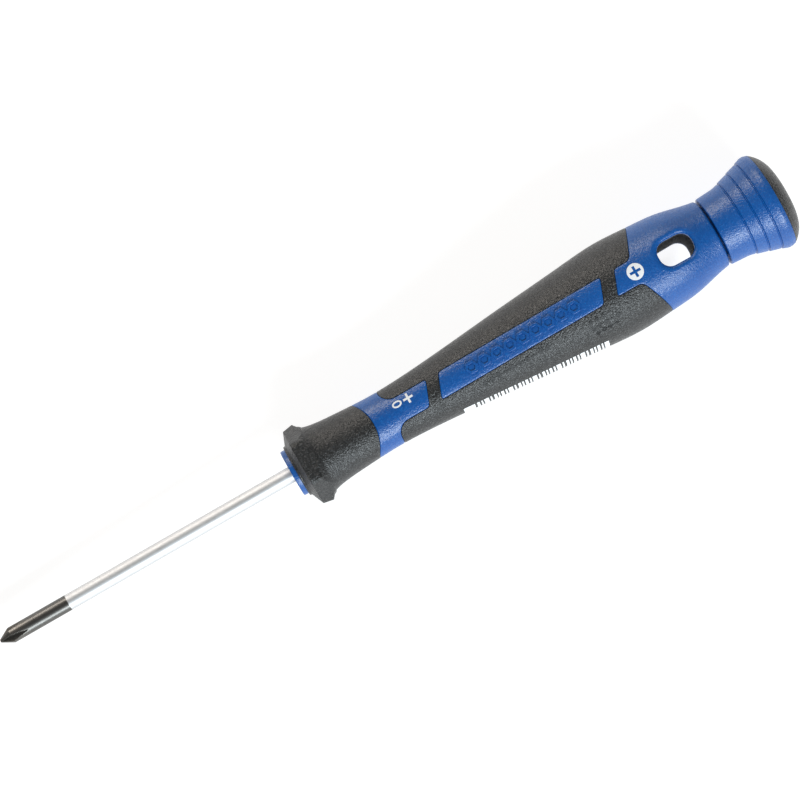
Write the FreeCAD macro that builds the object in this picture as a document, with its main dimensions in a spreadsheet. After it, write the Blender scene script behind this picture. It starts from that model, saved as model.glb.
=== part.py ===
import FreeCAD, Part
import math
import os
import re

import Sketcher

# Watchmaker's screwdriver with a swivel cap.
# Lengths are in millimetres and run along the tool from the blade's point.
# Every sub-part is drawn on the tool's axis, in its own X direction, with the
# long panel facing +Z. Its Placement then lifts it so that the cap's rim stands
# on Z = 0 and the middle of the tool's length is over the origin.

CELLS = {
    # whole tool
    "tool_length": 162.0,
    "axis_height": 9.22,
    # blade
    "blade_radius": 1.5,
    "root_radius": 1.3,
    "blade_end": 101.0,
    "point_radius": 0.28,
    "point_cone": 2.2,
    "flute_start": 0.36,
    "flute_slope": 6.0,
    "flute_wheel": 29.0,
    "flute_angle": 92.0,
    "flute_depth": 3.0,
    "blade_turn": 29.0,
    "wing_start": 88.0,
    "wing_length": 8.0,
    "wing_span": 5.0,
    "wing_thickness": 1.2,
    # core: disc at the mouth, and the body hidden by the sleeves
    "disc_front": 60.2,
    "disc_end": 61.1,
    "disc_radius": 4.45,
    "disc_round": 0.25,
    "mouth_radius": 1.95,
    "mouth_depth": 1.6,
    "neck_radius": 3.9,
    "neck_end": 84.0,
    "belly_radius": 7.1,
    "belly_start": 122.0,
    "core_end": 147.2,
    "end_radius": 6.66,
    "end_round": 0.9,
    # flange of the front sleeve
    "flange_front": 61.1,
    "flange_lip": 4.93,
    "flange_cone_end": 62.5,
    "flange_edge": 7.4,
    "flange_radius": 7.8,
    "flange_back": 64.45,
    "flange_foot": 65.0,
    "flange_foot_radius": 7.0,
    "flange_apothem": 6.7,
    # control polygon of the grip's outline
    "form_x1": 65.4,
    "form_r1": 6.0,
    "form_x2": 73.6,
    "form_r2": 5.5,
    "form_x3": 80.4,
    "form_r3": 5.03,
    "form_x4": 92.6,
    "form_r4": 5.88,
    "form_x5": 106.5,
    "form_r5": 7.3,
    "form_x6": 119.4,
    "form_r6": 8.28,
    "form_x7": 127.4,
    "form_r7": 9.2,
    "form_x8": 133.8,
    "form_r8": 8.56,
    "form_x9": 140.1,
    "form_r9": 8.33,
    "form_x10": 143.7,
    "form_r10": 7.14,
    # where black sleeve gives way to blue core, in plan
    "front_mid": 77.3,
    "front_bow": 8.7,
    "main_front": 80.6,
    "main_round": 2.4,
    "window_half": 2.35,
    "window_slant": 1.85,
    "tongue_end": 88.4,
    "panel_front": 90.9,
    "panel_back": 124.15,
    "rear_tongue": 127.0,
    "rear_turn": 130.2,
    "rear_round": 1.5,
    "rear_lean": 65.0,
    "zone_half": 12.0,
    # hanging slot
    "slot_middle": 139.3,
    "slot_length": 6.8,
    "slot_width": 4.8,
    "slot_corner": 2.1,
    # drive-type disc
    "symbol_x": 130.95,
    "symbol_radius": 1.58,
    "symbol_floor": 8.45,
    "cross_half": 1.05,
    "cross_bar": 0.25,
    # cap bearing
    "journal_radius": 2.6,
    "journal_end": 152.6,
    "journal_chamfer": 0.4,
    "running_clearance": 0.05,
    "washer_radius": 5.0,
    "washer_thickness": 0.35,
    "hub_end": 151.0,
    "ring_radius": 4.6,
    "ring_thickness": 0.4,
    "ring_slot": 0.8,
    "ring_slot_reach": 3.6,
    # cap
    "cap_front": 147.6,
    "cap_mouth": 6.45,
    "cap_front_radius": 6.65,
    "cap_waist": 150.9,
    "cap_waist_radius": 6.86,
    "step_first": 152.35,
    "step_pitch": 2.25,
    "step_radius": 7.14,
    "step_taper": 0.33,
    "step_rise": 0.16,
    "step_groove": 0.22,
    "step_half": 0.16,
    "cap_crest": 158.5,
    "cap_rim": 159.4,
    "cap_rim_radius": 9.05,
    "cavity_radius": 5.6,
    "cavity_end": 158.2,
    "inlay_radius": 7.4,
    # inlay
    "dome_flat": 3.8,
    "dome_bow": 6.0,
}

doc = FreeCAD.newDocument("watchmaker_screwdriver")
sheet = doc.addObject("Spreadsheet::Sheet", "sheet")
for row, (alias, value) in enumerate(CELLS.items(), start=1):
    sheet.set(f"A{row}", alias)
    sheet.set(f"B{row}", str(value))
    sheet.setAlias(f"B{row}", alias)
doc.recompute()

WORDS = {alias: f"sheet.{alias}" for alias in CELLS}
QUARTER_TURN = 90
HALF_FACET = 30


def formula(text):
    """Turn cell names in a formula into references to the sheet."""
    return re.sub(r"[a-z]\w*", lambda word: WORDS.get(word.group(), word.group()), text)


def number(text):
    """Work a formula out with the sheet's present values."""
    probe = sheet.evalExpression(formula(text))
    return float(getattr(probe, "Value", probe))


def place(item):
    """Move a sub-part from its own axis to its place in the tool."""
    item.setExpression("Placement.Base.x", "-sheet.tool_length / 2")
    item.setExpression("Placement.Base.z", "sheet.axis_height")


def new_body(label):
    body = doc.addObject("PartDesign::Body", label)
    body.Label = label
    return body


def origin_plane(body, role):
    for feature in body.Origin.OriginFeatures:
        if feature.Role == role:
            return feature
    raise ValueError(role)


def new_sketch(body, label, role, shift=None):
    """Sketch on one of the body's own planes, moved by formulas (x, y, z) in the plane's axes."""
    sketch = body.newObject("Sketcher::SketchObject", label)
    sketch.AttachmentSupport = [(origin_plane(body, role), "")]
    sketch.MapMode = "FlatFace"
    for letter, text in zip("xyz", shift or ()):
        if text != "0":
            sketch.setExpression(f"AttachmentOffset.Base.{letter}", formula(text))
    return sketch


def pin_point(sketch, geometry, point, place_text):
    """Hold a point at the sketch coordinates given by two formulas."""
    for kind, text in zip(("DistanceX", "DistanceY"), place_text):
        value = number(text)
        index = sketch.addConstraint(Sketcher.Constraint(kind, -1, 1, geometry, point, value))
        sketch.setExpression(f"Constraints[{index}]", formula(text))


def vector(place_text):
    return FreeCAD.Vector(number(place_text[0]), number(place_text[1]), 0)


def draw_edge(sketch, corner, following):
    """One edge of an outline. A corner is (x, y) formulas, with an optional third item that
    says how the edge to the next corner bends: ("bow", radius formula, side), where side is
    +1 when the edge bulges to the left of its direction. Gives the edge, and the numbers of
    its points at the corner and at the next one."""
    start = vector(corner)
    end = vector(following)
    if len(corner) == 2:
        return sketch.addGeometry(Part.LineSegment(start, end), False), 1, 2
    text = corner[2][1]
    radius = number(text)
    chord = end - start
    left = FreeCAD.Vector(-chord.y, chord.x, 0).normalize()
    sag = radius - math.sqrt(radius ** 2 - (chord.Length / 2) ** 2)
    middle = (start + end) / 2 + left * sag * corner[2][2]
    edge = sketch.addGeometry(Part.Arc(start, middle, end), False)
    bow = sketch.addConstraint(Sketcher.Constraint("Radius", edge, radius))
    sketch.setExpression(f"Constraints[{bow}]", formula(text))
    if sketch.getPoint(edge, 1).distanceToPoint(start) < 1e-6:
        return edge, 1, 2
    return edge, 2, 1


def draw_outline(sketch, corners):
    """Closed outline through a list of corners."""
    drawn = []
    for corner, following in zip(corners, corners[1:] + corners[:1]):
        drawn.append(draw_edge(sketch, corner, following))
    for (edge, _, end), (following, start, _) in zip(drawn, drawn[1:] + drawn[:1]):
        sketch.addConstraint(Sketcher.Constraint("Coincident", edge, end, following, start))
    for (edge, start, _), corner in zip(drawn, corners):
        pin_point(sketch, edge, start, corner[:2])


def draw_open_chain(sketch, corners, spline):
    """Edges through a list of corners, from the spline's end back round to its start."""
    previous = (spline, 2)
    for corner, following in zip(corners, corners[1:]):
        edge, start, end = draw_edge(sketch, corner, following)
        sketch.addConstraint(Sketcher.Constraint("Coincident", *previous, edge, start))
        if following is not corners[-1]:
            pin_point(sketch, edge, end, following[:2])
        previous = (edge, end)
    sketch.addConstraint(Sketcher.Constraint("Coincident", *previous, spline, 1))


def draw_circle(sketch, centre, radius):
    circle = Part.Circle(vector(centre), FreeCAD.Vector(0, 0, 1), number(radius))
    index = sketch.addGeometry(circle, False)
    pin_point(sketch, index, 3, centre)
    bound = sketch.addConstraint(Sketcher.Constraint("Radius", index, number(radius)))
    sketch.setExpression(f"Constraints[{bound}]", formula(radius))


def revolve(body, sketch, label):
    """Full turn of a sketch about the tool's axis, which is the sketch's own X axis."""
    feature = body.newObject("PartDesign::Revolution", label)
    feature.Profile = sketch
    feature.ReferenceAxis = (sketch, ["H_Axis"])
    feature.Angle = 360
    return feature


def pad(body, sketch, label, length, midplane=False):
    feature = body.newObject("PartDesign::Pad", label)
    feature.Profile = sketch
    feature.setExpression("Length", formula(length))
    feature.Midplane = midplane
    return feature


def pattern_about_x(body, features, label, count):
    pattern = body.newObject("PartDesign::PolarPattern", label)
    pattern.Originals = features
    for feature in body.Origin.OriginFeatures:
        if feature.Role == "X_Axis":
            pattern.Axis = (feature, [""])
    pattern.Angle = 360
    pattern.Occurrences = count
    body.Tip = pattern
    return pattern


def without(shape, tool):
    """Cut on copies, because a boolean loosens the tolerances of the shapes it is given."""
    return shape.copy().cut(tool.copy())


def shared(shape, tool):
    """Common volume, also of copies."""
    return shape.copy().common(tool.copy())


def settle(label, shape):
    """Object that holds a shape cut from the forms above it in the document."""
    item = doc.addObject("Part::Feature", label)
    item.Label = label
    item.Shape = shape.copy()
    return item


# ---------------------------------------------------------------- blade
def make_blade():
    """Round rod with a cross-recess point, and two wings that lock it in the core."""
    body = new_body("blade")
    outline = new_sketch(body, "rod_outline", "XZ_Plane")
    draw_outline(outline, [
        ("0", "0"),
        ("0", "point_radius"),
        ("point_cone", "blade_radius"),
        ("disc_front", "blade_radius"),
        ("disc_front", "root_radius"),
        ("blade_end", "root_radius"),
        ("blade_end", "0"),
    ])
    revolve(body, outline, "rod")
    plate = new_sketch(body, "wing_outline", "XZ_Plane")
    draw_outline(plate, [
        ("wing_start", "-1 * wing_span / 2"),
        ("wing_start + wing_length", "-1 * wing_span / 2"),
        ("wing_start + wing_length", "wing_span / 2"),
        ("wing_start", "wing_span / 2"),
    ])
    pad(body, plate, "wings", "wing_thickness", midplane=True)
    # The flutes are ground by a large wheel with a V-shaped rim. Its axis lies across the
    # blade, so the valley rises towards the shank and runs out on the rod.
    wheel_x = "-1 * flute_wheel * sin(flute_slope)"
    wheel_z = "flute_start + flute_wheel * cos(flute_slope)"
    rim = new_sketch(body, "flute_outline", "YZ_Plane", ("0", wheel_z, wheel_x))
    half_width = "flute_depth * tan(flute_angle / 2)"
    draw_outline(rim, [
        ("0", "-1 * flute_wheel"),
        (half_width, "-1 * flute_wheel + flute_depth"),
        (f"-1 * {half_width}", "-1 * flute_wheel + flute_depth"),
    ])
    flute = body.newObject("PartDesign::Groove", "flute")
    flute.Profile = rim
    flute.ReferenceAxis = (rim, ["H_Axis"])
    flute.Midplane = True
    flute.Angle = QUARTER_TURN
    pattern_about_x(body, [flute], "flutes", 4)
    # one flute faces up and a little towards -Y
    body.Placement.Rotation = FreeCAD.Rotation(FreeCAD.Vector(1, 0, 0), 0)
    body.setExpression("Placement.Rotation.Angle", formula("blade_turn"))
    return body


# ---------------------------------------------------------------- forms shared by the handle
def make_handle_form():
    """Everything inside the handle's outer surface, with the journal for the cap."""
    body = new_body("handle_form")
    sketch = new_sketch(body, "handle_outline", "XZ_Plane")
    form = [("flange_foot", "flange_foot_radius")]
    form += [(f"form_x{index}", f"form_r{index}") for index in range(1, 11)]
    form += [("core_end - end_round", "end_radius")]
    poles = [vector(point) for point in form]
    curve = Part.BSplineCurve()
    knots = len(poles) - 2
    curve.buildFromPolesMultsKnots(poles, [4] + [1] * (knots - 2) + [4], list(range(knots)), False, 3)
    spline = sketch.addGeometry(curve, False)
    for index, point in enumerate(form):
        handle = sketch.addGeometry(Part.Circle(poles[index], FreeCAD.Vector(0, 0, 1), 1), True)
        sketch.addConstraint(Sketcher.Constraint(
            "InternalAlignment:Sketcher::BSplineControlPoint", handle, 3, spline, index))
        sketch.addConstraint(Sketcher.Constraint("Weight", handle, 1))
        pin_point(sketch, handle, 3, point)
    rest = [
        ("core_end - end_round", "end_radius", ("bow", "end_round", 1)),
        ("core_end", "end_radius - end_round"),
        ("core_end", "journal_radius"),
        ("journal_end - journal_chamfer", "journal_radius"),
        ("journal_end", "journal_radius - journal_chamfer"),
        ("journal_end", "0"),
        ("disc_front + mouth_depth", "0"),
        ("disc_front", "mouth_radius"),
        ("disc_front", "disc_radius - disc_round"),
        ("disc_front + disc_round", "disc_radius"),
        ("flange_front", "disc_radius"),
        ("flange_front", "flange_lip"),
        ("flange_cone_end", "flange_edge"),
        ("flange_back", "flange_radius"),
        ("flange_foot", "flange_foot_radius"),
    ]
    draw_open_chain(sketch, rest, spline)
    revolve(body, sketch, "handle_turned")
    return body


def make_core_form():
    """The core as it is under the sleeves, before the windows are added."""
    body = new_body("core_form")
    sketch = new_sketch(body, "core_outline", "XZ_Plane")
    draw_outline(sketch, [
        ("disc_front", "0"),
        ("disc_front", "disc_radius"),
        ("flange_front", "disc_radius"),
        ("flange_front + 0.6", "neck_radius"),
        ("neck_end", "neck_radius"),
        ("belly_start", "belly_radius"),
        ("core_end - 2", "belly_radius"),
        ("core_end - 2", "0"),
    ])
    revolve(body, sketch, "core_turned")
    return body


def make_front_zone():
    """Room for the front sleeve, whose rear edge bows back over the panel side."""
    body = new_body("front_zone")
    sketch = new_sketch(body, "front_plan", "XY_Plane")
    edge_half = "flange_lip"
    edge_x = f"front_mid - front_bow + sqrt(front_bow ^ 2 - {edge_half} ^ 2)"
    draw_outline(sketch, [
        ("flange_front", "-1 * zone_half"),
        (edge_x, "-1 * zone_half"),
        (edge_x, f"-1 * {edge_half}", ("bow", "front_bow", -1)),
        (edge_x, edge_half),
        (edge_x, "zone_half"),
        ("flange_front", "zone_half"),
    ])
    half = pad(body, sketch, "front_half", "zone_half")
    pattern_about_x(body, [half], "front_both", 2)
    return body


def make_main_zone():
    """Room for the main sleeve, with the two tongues and the long panel left out."""
    body = new_body("main_zone")
    sketch = new_sketch(body, "main_plan", "XY_Plane")
    turn_x = "rear_turn + rear_round * sin(rear_lean)"
    turn_y = "(window_half + rear_round - rear_round * cos(rear_lean))"
    back_y = "(form_r8 + 0.2)"
    back_x = f"{turn_x} + ({back_y} - {turn_y}) / tan(rear_lean)"
    corners = [
        ("main_front", "zone_half"),
        ("main_front", "window_half + main_round", ("bow", "main_round", -1)),
        ("main_front + main_round", "window_half"),
        ("tongue_end + window_slant / 2", "window_half"),
        ("tongue_end - window_slant / 2", "-1 * window_half"),
        ("main_front + main_round", "-1 * window_half", ("bow", "main_round", -1)),
        ("main_front", "-1 * (window_half + main_round)"),
        ("main_front", "-1 * zone_half"),
        (back_x, "-1 * zone_half"),
        (back_x, f"-1 * {back_y}"),
        (turn_x, f"-1 * {turn_y}", ("bow", "rear_round", -1)),
        ("rear_turn", "-1 * window_half"),
        ("rear_tongue - window_slant / 2", "-1 * window_half"),
        ("rear_tongue + window_slant / 2", "window_half"),
        ("rear_turn", "window_half", ("bow", "rear_round", -1)),
        (turn_x, turn_y),
        (back_x, back_y),
        (back_x, "zone_half"),
    ]
    draw_outline(sketch, corners)
    draw_outline(sketch, [
        ("panel_front - window_slant / 2", "-1 * window_half"),
        ("panel_back - window_slant / 2", "-1 * window_half"),
        ("panel_back + window_slant / 2", "window_half"),
        ("panel_front + window_slant / 2", "window_half"),
    ])
    half = pad(body, sketch, "main_half", "zone_half")
    pattern_about_x(body, [half], "main_both", 2)
    return body


def make_flange_hexagon():
    """Six-sided prism that gives the flange its flats, one of them facing +Z."""
    prism = doc.addObject("Part::Prism", "flange_hexagon")
    prism.Polygon = 6
    prism.setExpression("Circumradius", formula("flange_apothem / cos(30)"))
    prism.setExpression("Height", formula("main_front - disc_front"))
    lay_down = FreeCAD.Rotation(FreeCAD.Vector(0, 1, 0), QUARTER_TURN)
    flat_up = FreeCAD.Rotation(FreeCAD.Vector(1, 0, 0), HALF_FACET)
    prism.Placement.Rotation = flat_up.multiply(lay_down)
    prism.setExpression("Placement.Base.x", formula("disc_front"))
    return prism


def make_symbol_stamp():
    """Round stamp with a cross left out, as deep as the white disc."""
    body = new_body("symbol_stamp")
    sketch = new_sketch(body, "symbol_plan", "XY_Plane", ("0", "0", "symbol_floor"))
    draw_circle(sketch, ("symbol_x", "0"), "symbol_radius")
    arm = "cross_half"
    bar = "cross_bar"
    corner_signs = [
        (arm, bar, 1, 1), (bar, bar, 1, 1), (bar, arm, 1, 1),
        (bar, arm, -1, 1), (bar, bar, -1, 1), (arm, bar, -1, 1),
        (arm, bar, -1, -1), (bar, bar, -1, -1), (bar, arm, -1, -1),
        (bar, arm, 1, -1), (bar, bar, 1, -1), (arm, bar, 1, -1),
    ]
    draw_outline(sketch, [
        (f"symbol_x + {sign_x} * {along}", f"{sign_y} * {across}")
        for along, across, sign_x, sign_y in corner_signs
    ])
    pad(body, sketch, "symbol_prism", "zone_half - symbol_floor")
    return body


# ---------------------------------------------------------------- handle
def make_handle(blade):
    """Blue core and the two black sleeves moulded over it."""
    handle_form = make_handle_form()
    core_form = make_core_form()
    front_zone = make_front_zone()
    main_zone = make_main_zone()
    hexagon = make_flange_hexagon()
    stamp = make_symbol_stamp()
    doc.recompute()
    front_room = without(front_zone.Shape, core_form.Shape)
    main_room = without(main_zone.Shape, core_form.Shape)
    stock = without(handle_form.Shape, core_form.Shape)
    front_ring = shared(stock, front_zone.Shape)
    grip_front = settle("grip_front", shared(front_ring, hexagon.Shape))
    grip_main = settle("grip_main", shared(stock, main_zone.Shape))
    symbol_disc = settle("symbol_disc", shared(handle_form.Shape, stamp.Shape))
    windowed = without(without(handle_form.Shape, front_room), main_room)
    blank = settle("core_blank", without(without(windowed, blade.Shape), stamp.Shape))

    core = new_body("handle_core")
    core.BaseFeature = blank
    doc.recompute()
    plan = new_sketch(core, "slot_plan", "XY_Plane")
    side = "slot_width / 2"
    end = "slot_length / 2"
    turn = ("bow", "slot_corner", -1)
    draw_outline(plan, [
        (f"slot_middle - {end} + slot_corner", f"-1 * {side}"),
        (f"slot_middle + {end} - slot_corner", f"-1 * {side}", turn),
        (f"slot_middle + {end}", f"-1 * {side} + slot_corner"),
        (f"slot_middle + {end}", f"{side} - slot_corner", turn),
        (f"slot_middle + {end} - slot_corner", side),
        (f"slot_middle - {end} + slot_corner", side, turn),
        (f"slot_middle - {end}", f"{side} - slot_corner"),
        (f"slot_middle - {end}", f"-1 * {side} + slot_corner", turn),
    ])
    slot = core.newObject("PartDesign::Pocket", "slot")
    slot.Profile = plan
    slot.Type = "ThroughAll"
    slot.Midplane = True
    core.Tip = slot
    return core, grip_front, grip_main, symbol_disc


# ---------------------------------------------------------------- cap
def make_slide_washer():
    body = new_body("slide_washer")
    sketch = new_sketch(body, "washer_outline", "XZ_Plane")
    draw_outline(sketch, [
        ("core_end", "journal_radius"),
        ("core_end", "washer_radius"),
        ("core_end + washer_thickness", "washer_radius"),
        ("core_end + washer_thickness", "journal_radius"),
    ])
    revolve(body, sketch, "washer_turned")
    return body


def make_retaining_ring():
    """Push-on ring with slots between the teeth that bite the journal."""
    body = new_body("retaining_ring")
    sketch = new_sketch(body, "ring_outline", "XZ_Plane")
    front = "hub_end + running_clearance"
    draw_outline(sketch, [
        (front, "journal_radius"),
        (front, "ring_radius"),
        (f"{front} + ring_thickness", "ring_radius"),
        (f"{front} + ring_thickness", "journal_radius"),
    ])
    revolve(body, sketch, "ring_turned")
    notch = new_sketch(body, "notch_outline", "XY_Plane")
    draw_outline(notch, [
        ("hub_end", "-1 * ring_slot / 2"),
        ("journal_end", "-1 * ring_slot / 2"),
        ("journal_end", "ring_slot / 2"),
        ("hub_end", "ring_slot / 2"),
    ])
    cut = body.newObject("PartDesign::Pocket", "notch")
    cut.Profile = notch
    cut.Reversed = True
    cut.setExpression("Length", formula("ring_slot_reach"))
    pattern_about_x(body, [cut], "notches", 6)
    return body


def cap_rings():
    """Corners of the three steps: each has a thin groove and then a small rise."""
    corners = []
    for index in range(3):
        middle = f"(step_first + {index} * step_pitch)"
        before = f"(step_radius + {index} * (step_pitch * step_taper))"
        corners += [
            (f"{middle} - step_half", before),
            (f"{middle} - step_half / 3", f"{before} - step_groove"),
            (f"{middle} + step_half / 3", f"{before} - step_groove"),
            (f"{middle} + step_half", f"{before} + step_rise"),
        ]
    return corners


def make_swivel_cap():
    body = new_body("swivel_cap")
    sketch = new_sketch(body, "cap_outline", "XZ_Plane")
    bore = "journal_radius + running_clearance"
    draw_outline(sketch, [
        ("cap_front", bore),
        ("cap_front", "cap_mouth"),
        ("cap_front + 0.2", "cap_front_radius"),
        ("cap_waist", "cap_waist_radius"),
    ] + cap_rings() + [
        ("cap_crest", "axis_height"),
        ("cap_rim", "cap_rim_radius"),
        ("cap_rim", "inlay_radius"),
        ("cavity_end", "inlay_radius"),
        ("cavity_end", "cavity_radius"),
        ("hub_end", "cavity_radius"),
        ("hub_end", bore),
    ])
    revolve(body, sketch, "cap_turned")
    return body


def make_cap_inlay():
    """Soft end of the cap: a plug in the cap's recess under a shallow dome."""
    body = new_body("cap_inlay")
    sketch = new_sketch(body, "inlay_outline", "XZ_Plane")
    draw_outline(sketch, [
        ("cavity_end", "0"),
        ("cavity_end", "inlay_radius"),
        ("cap_rim", "inlay_radius"),
        ("cap_rim", "cap_rim_radius", ("bow", "dome_bow", 1)),
        ("tool_length", "dome_flat"),
        ("tool_length", "0"),
    ])
    revolve(body, sketch, "inlay_turned")
    return body


# ---------------------------------------------------------------- assembly
blade = make_blade()
handle_core, grip_front, grip_main, symbol_disc = make_handle(blade)
sub_parts = [
    blade,
    handle_core,
    grip_front,
    grip_main,
    symbol_disc,
    make_slide_washer(),
    make_retaining_ring(),
    make_swivel_cap(),
    make_cap_inlay(),
]
for item in sub_parts:
    place(item)
doc.recompute()

for item in doc.Objects:
    if "Invalid" in item.State or "Error" in item.State:
        raise RuntimeError(f"{item.Label} failed to recompute: {item.State}")

os.makedirs("parts", exist_ok=True)
for item in sub_parts:
    shape = item.Shape
    if shape.isNull() or not shape.isValid():
        raise RuntimeError(f"{item.Label} has no valid shape")
for item in sub_parts:
    item.Shape.exportStep(f"parts/{item.Label}.step")
    print(item.Label, len(item.Shape.Solids), "solid", round(item.Shape.Volume, 2), "mm3")
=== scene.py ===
import math

import bmesh
import bpy
import numpy as np
from mathutils import Matrix, Vector, kdtree


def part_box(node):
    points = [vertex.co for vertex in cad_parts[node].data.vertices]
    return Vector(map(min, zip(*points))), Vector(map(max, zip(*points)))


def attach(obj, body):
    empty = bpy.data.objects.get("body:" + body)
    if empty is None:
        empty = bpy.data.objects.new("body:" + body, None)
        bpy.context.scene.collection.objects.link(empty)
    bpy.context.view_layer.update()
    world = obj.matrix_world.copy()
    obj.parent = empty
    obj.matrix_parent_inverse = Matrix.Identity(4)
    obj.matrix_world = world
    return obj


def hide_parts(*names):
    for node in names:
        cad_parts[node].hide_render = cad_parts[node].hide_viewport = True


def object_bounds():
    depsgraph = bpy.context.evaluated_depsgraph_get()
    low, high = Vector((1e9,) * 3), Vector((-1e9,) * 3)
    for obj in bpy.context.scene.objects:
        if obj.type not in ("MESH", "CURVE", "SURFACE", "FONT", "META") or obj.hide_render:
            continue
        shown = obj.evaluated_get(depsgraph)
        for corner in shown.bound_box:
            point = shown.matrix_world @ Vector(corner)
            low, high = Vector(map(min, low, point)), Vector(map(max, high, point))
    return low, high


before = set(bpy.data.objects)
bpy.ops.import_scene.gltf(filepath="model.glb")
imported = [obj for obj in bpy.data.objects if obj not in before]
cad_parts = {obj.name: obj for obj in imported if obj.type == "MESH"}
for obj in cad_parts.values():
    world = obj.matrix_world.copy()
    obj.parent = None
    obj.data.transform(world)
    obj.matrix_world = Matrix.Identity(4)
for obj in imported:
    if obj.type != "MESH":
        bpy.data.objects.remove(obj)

# Watchmaker's screwdriver. Lengths here are millimetres, and a "station" is a distance along
# the tool from the blade's point. The axis lies level, the long panel faces +Z.
CAD_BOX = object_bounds()
MM = 0.001
TIP_X = CAD_BOX[0][0]
AXIS_Z = (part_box("swivel_cap")[0][2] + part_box("swivel_cap")[1][2]) / 2


def station_of(x):
    """Station in millimetres of a place along the frame's X axis."""
    return (x - TIP_X) / MM


# ---------------------------------------------------------------- driving dimensions
BLADE_RADIUS = 1.5
BLADE_EXPOSED = 60.2
TOOL_LENGTH = station_of(CAD_BOX[1][0])
CORE_END = 147.2
CORE_END_RADIUS = 6.66
CORE_END_ROUND = 0.9
JOURNAL_RADIUS = 2.6
JOURNAL_END = 152.6

# Control polygon of the grip's outline, from the flange's foot to the rounded end. Most points
# were fitted by a scratch program to widths read off the photo. part.py holds the same ones.
FORM = [
    (65.0, 7.0), (65.4, 6.0), (73.6, 5.5), (80.4, 5.03), (92.6, 5.88), (106.5, 7.3),
    (119.4, 8.28), (127.4, 9.2), (133.8, 8.56), (140.1, 8.33), (143.7, 7.14), (146.3, 6.66),
]
FORM_END = FORM[-1][0]

FRONT_MID = 77.3          # rear edge of the front sleeve, on the panel's centre line
FRONT_BOW = 8.7
MAIN_FRONT = 80.6         # front edge of the main sleeve, at the sides
MAIN_ROUND = 2.4
WINDOW_HALF = 2.35
WINDOW_LEAN = 0.925       # half of what a window's slanted end moves along the tool
TONGUE_END = 88.4
PANEL_FRONT = 90.9
PANEL_BACK = 124.15
REAR_TONGUE = 127.0
REAR_TURN = 130.2
REAR_ROUND = 1.5
REAR_LEAN = math.radians(65)

SLOT_MIDDLE = 139.3
SLOT_HALF_LENGTH = 3.4
SLOT_HALF_WIDTH = 2.4
SLOT_CORNER = 2.1
SLOT_ROUND = 0.9
SLOT_DEPTH = 0.85

SLEEVE_WALL = 1.25        # thickness of the soft sleeves
BLUE_ROUND = 0.24         # rounding of the blue core where it meets a sleeve
BLACK_ROUND = 0.11        # rounding of a sleeve's edge
WINDOW_CORNER = 0.55      # rounding of the windows' corners in plan
SIDE_LENGTH = 8.0         # about how far it is round the side of the handle
FLAT_APOTHEM = 6.7        # flange's flats
FLANGE_END = 66.5


# ---------------------------------------------------------------- outline of the grip
def spline(poles, samples=900):
    """Clamped uniform cubic B-spline through a control polygon, by de Boor's rule."""
    poles = np.array(poles, float)
    spans = len(poles) - 3
    knots = np.concatenate([[0] * 3, np.arange(spans + 1), [spans] * 3]).astype(float)
    values = np.linspace(0, spans - 1e-9, samples)
    curve = []
    for value in values:
        k = int(value) + 3
        work = [poles[j + k - 3].copy() for j in range(4)]
        for level in range(1, 4):
            for j in range(3, level - 1, -1):
                low = knots[j + k - 3]
                high = knots[j + 1 + k - level]
                part = (value - low) / (high - low)
                work[j] = (1 - part) * work[j - 1] + part * work[j]
        curve.append(work[3])
    return np.array(curve)


FORM_CURVE = spline(FORM)


def form_radius(station):
    return np.interp(station, FORM_CURVE[:, 0], FORM_CURVE[:, 1])


def rounded(corners, steps=5):
    """Outline from corners (station, radius, rounding), with each corner replaced by an arc."""
    points = []
    for index, (x, r, size) in enumerate(corners):
        here = np.array([x, r], float)
        if size <= 0 or index in (0, len(corners) - 1):
            points.append(here)
            continue
        before = np.array(corners[index - 1][:2], float) - here
        after = np.array(corners[index + 1][:2], float) - here
        a = before / np.linalg.norm(before)
        b = after / np.linalg.norm(after)
        half = math.acos(max(-1, min(1, float(a @ b)))) / 2
        if half > math.radians(88):
            points.append(here)
            continue
        reach = min(size / math.tan(half), 0.49 * min(np.linalg.norm(before), np.linalg.norm(after)))
        size = reach * math.tan(half)
        centre = here + (a + b) / np.linalg.norm(a + b) * (size / math.sin(half))
        start = here + a * reach - centre
        end = here + b * reach - centre
        turn = math.atan2(start[0] * end[1] - start[1] * end[0], float(start @ end))
        for step in range(steps + 1):
            angle = turn * step / steps
            spin = np.array([[math.cos(angle), -math.sin(angle)], [math.sin(angle), math.cos(angle)]])
            points.append(centre + spin @ start)
    return np.array(points)


# ---------------------------------------------------------------- mesh helpers
def to_frame(points):
    """Points as station, y and z from the axis, in millimetres, to metres in the frame."""
    points = np.asarray(points, float)
    return np.stack([
        TIP_X + points[..., 0] * MM,
        points[..., 1] * MM,
        AXIS_Z + points[..., 2] * MM,
    ], axis=-1)


def make_object(name, points, faces, sharp_angle=35):
    """Mesh object from points in tool millimetres and a list of faces."""
    mesh = bpy.data.meshes.new(name)
    mesh.from_pydata(to_frame(points).tolist(), [], [list(map(int, face)) for face in faces])
    tidy = bmesh.new()
    tidy.from_mesh(mesh)
    bmesh.ops.remove_doubles(tidy, verts=tidy.verts, dist=1e-7)
    loose = [vert for vert in tidy.verts if not vert.link_faces]
    bmesh.ops.delete(tidy, geom=loose, context="VERTS")
    bmesh.ops.recalc_face_normals(tidy, faces=tidy.faces)
    tidy.to_mesh(mesh)
    tidy.free()
    mesh.polygons.foreach_set("use_smooth", [True] * len(mesh.polygons))
    mesh.set_sharp_from_angle(angle=math.radians(sharp_angle))
    mesh.update()
    item = bpy.data.objects.new(name, mesh)
    bpy.context.scene.collection.objects.link(item)
    return item


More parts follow.
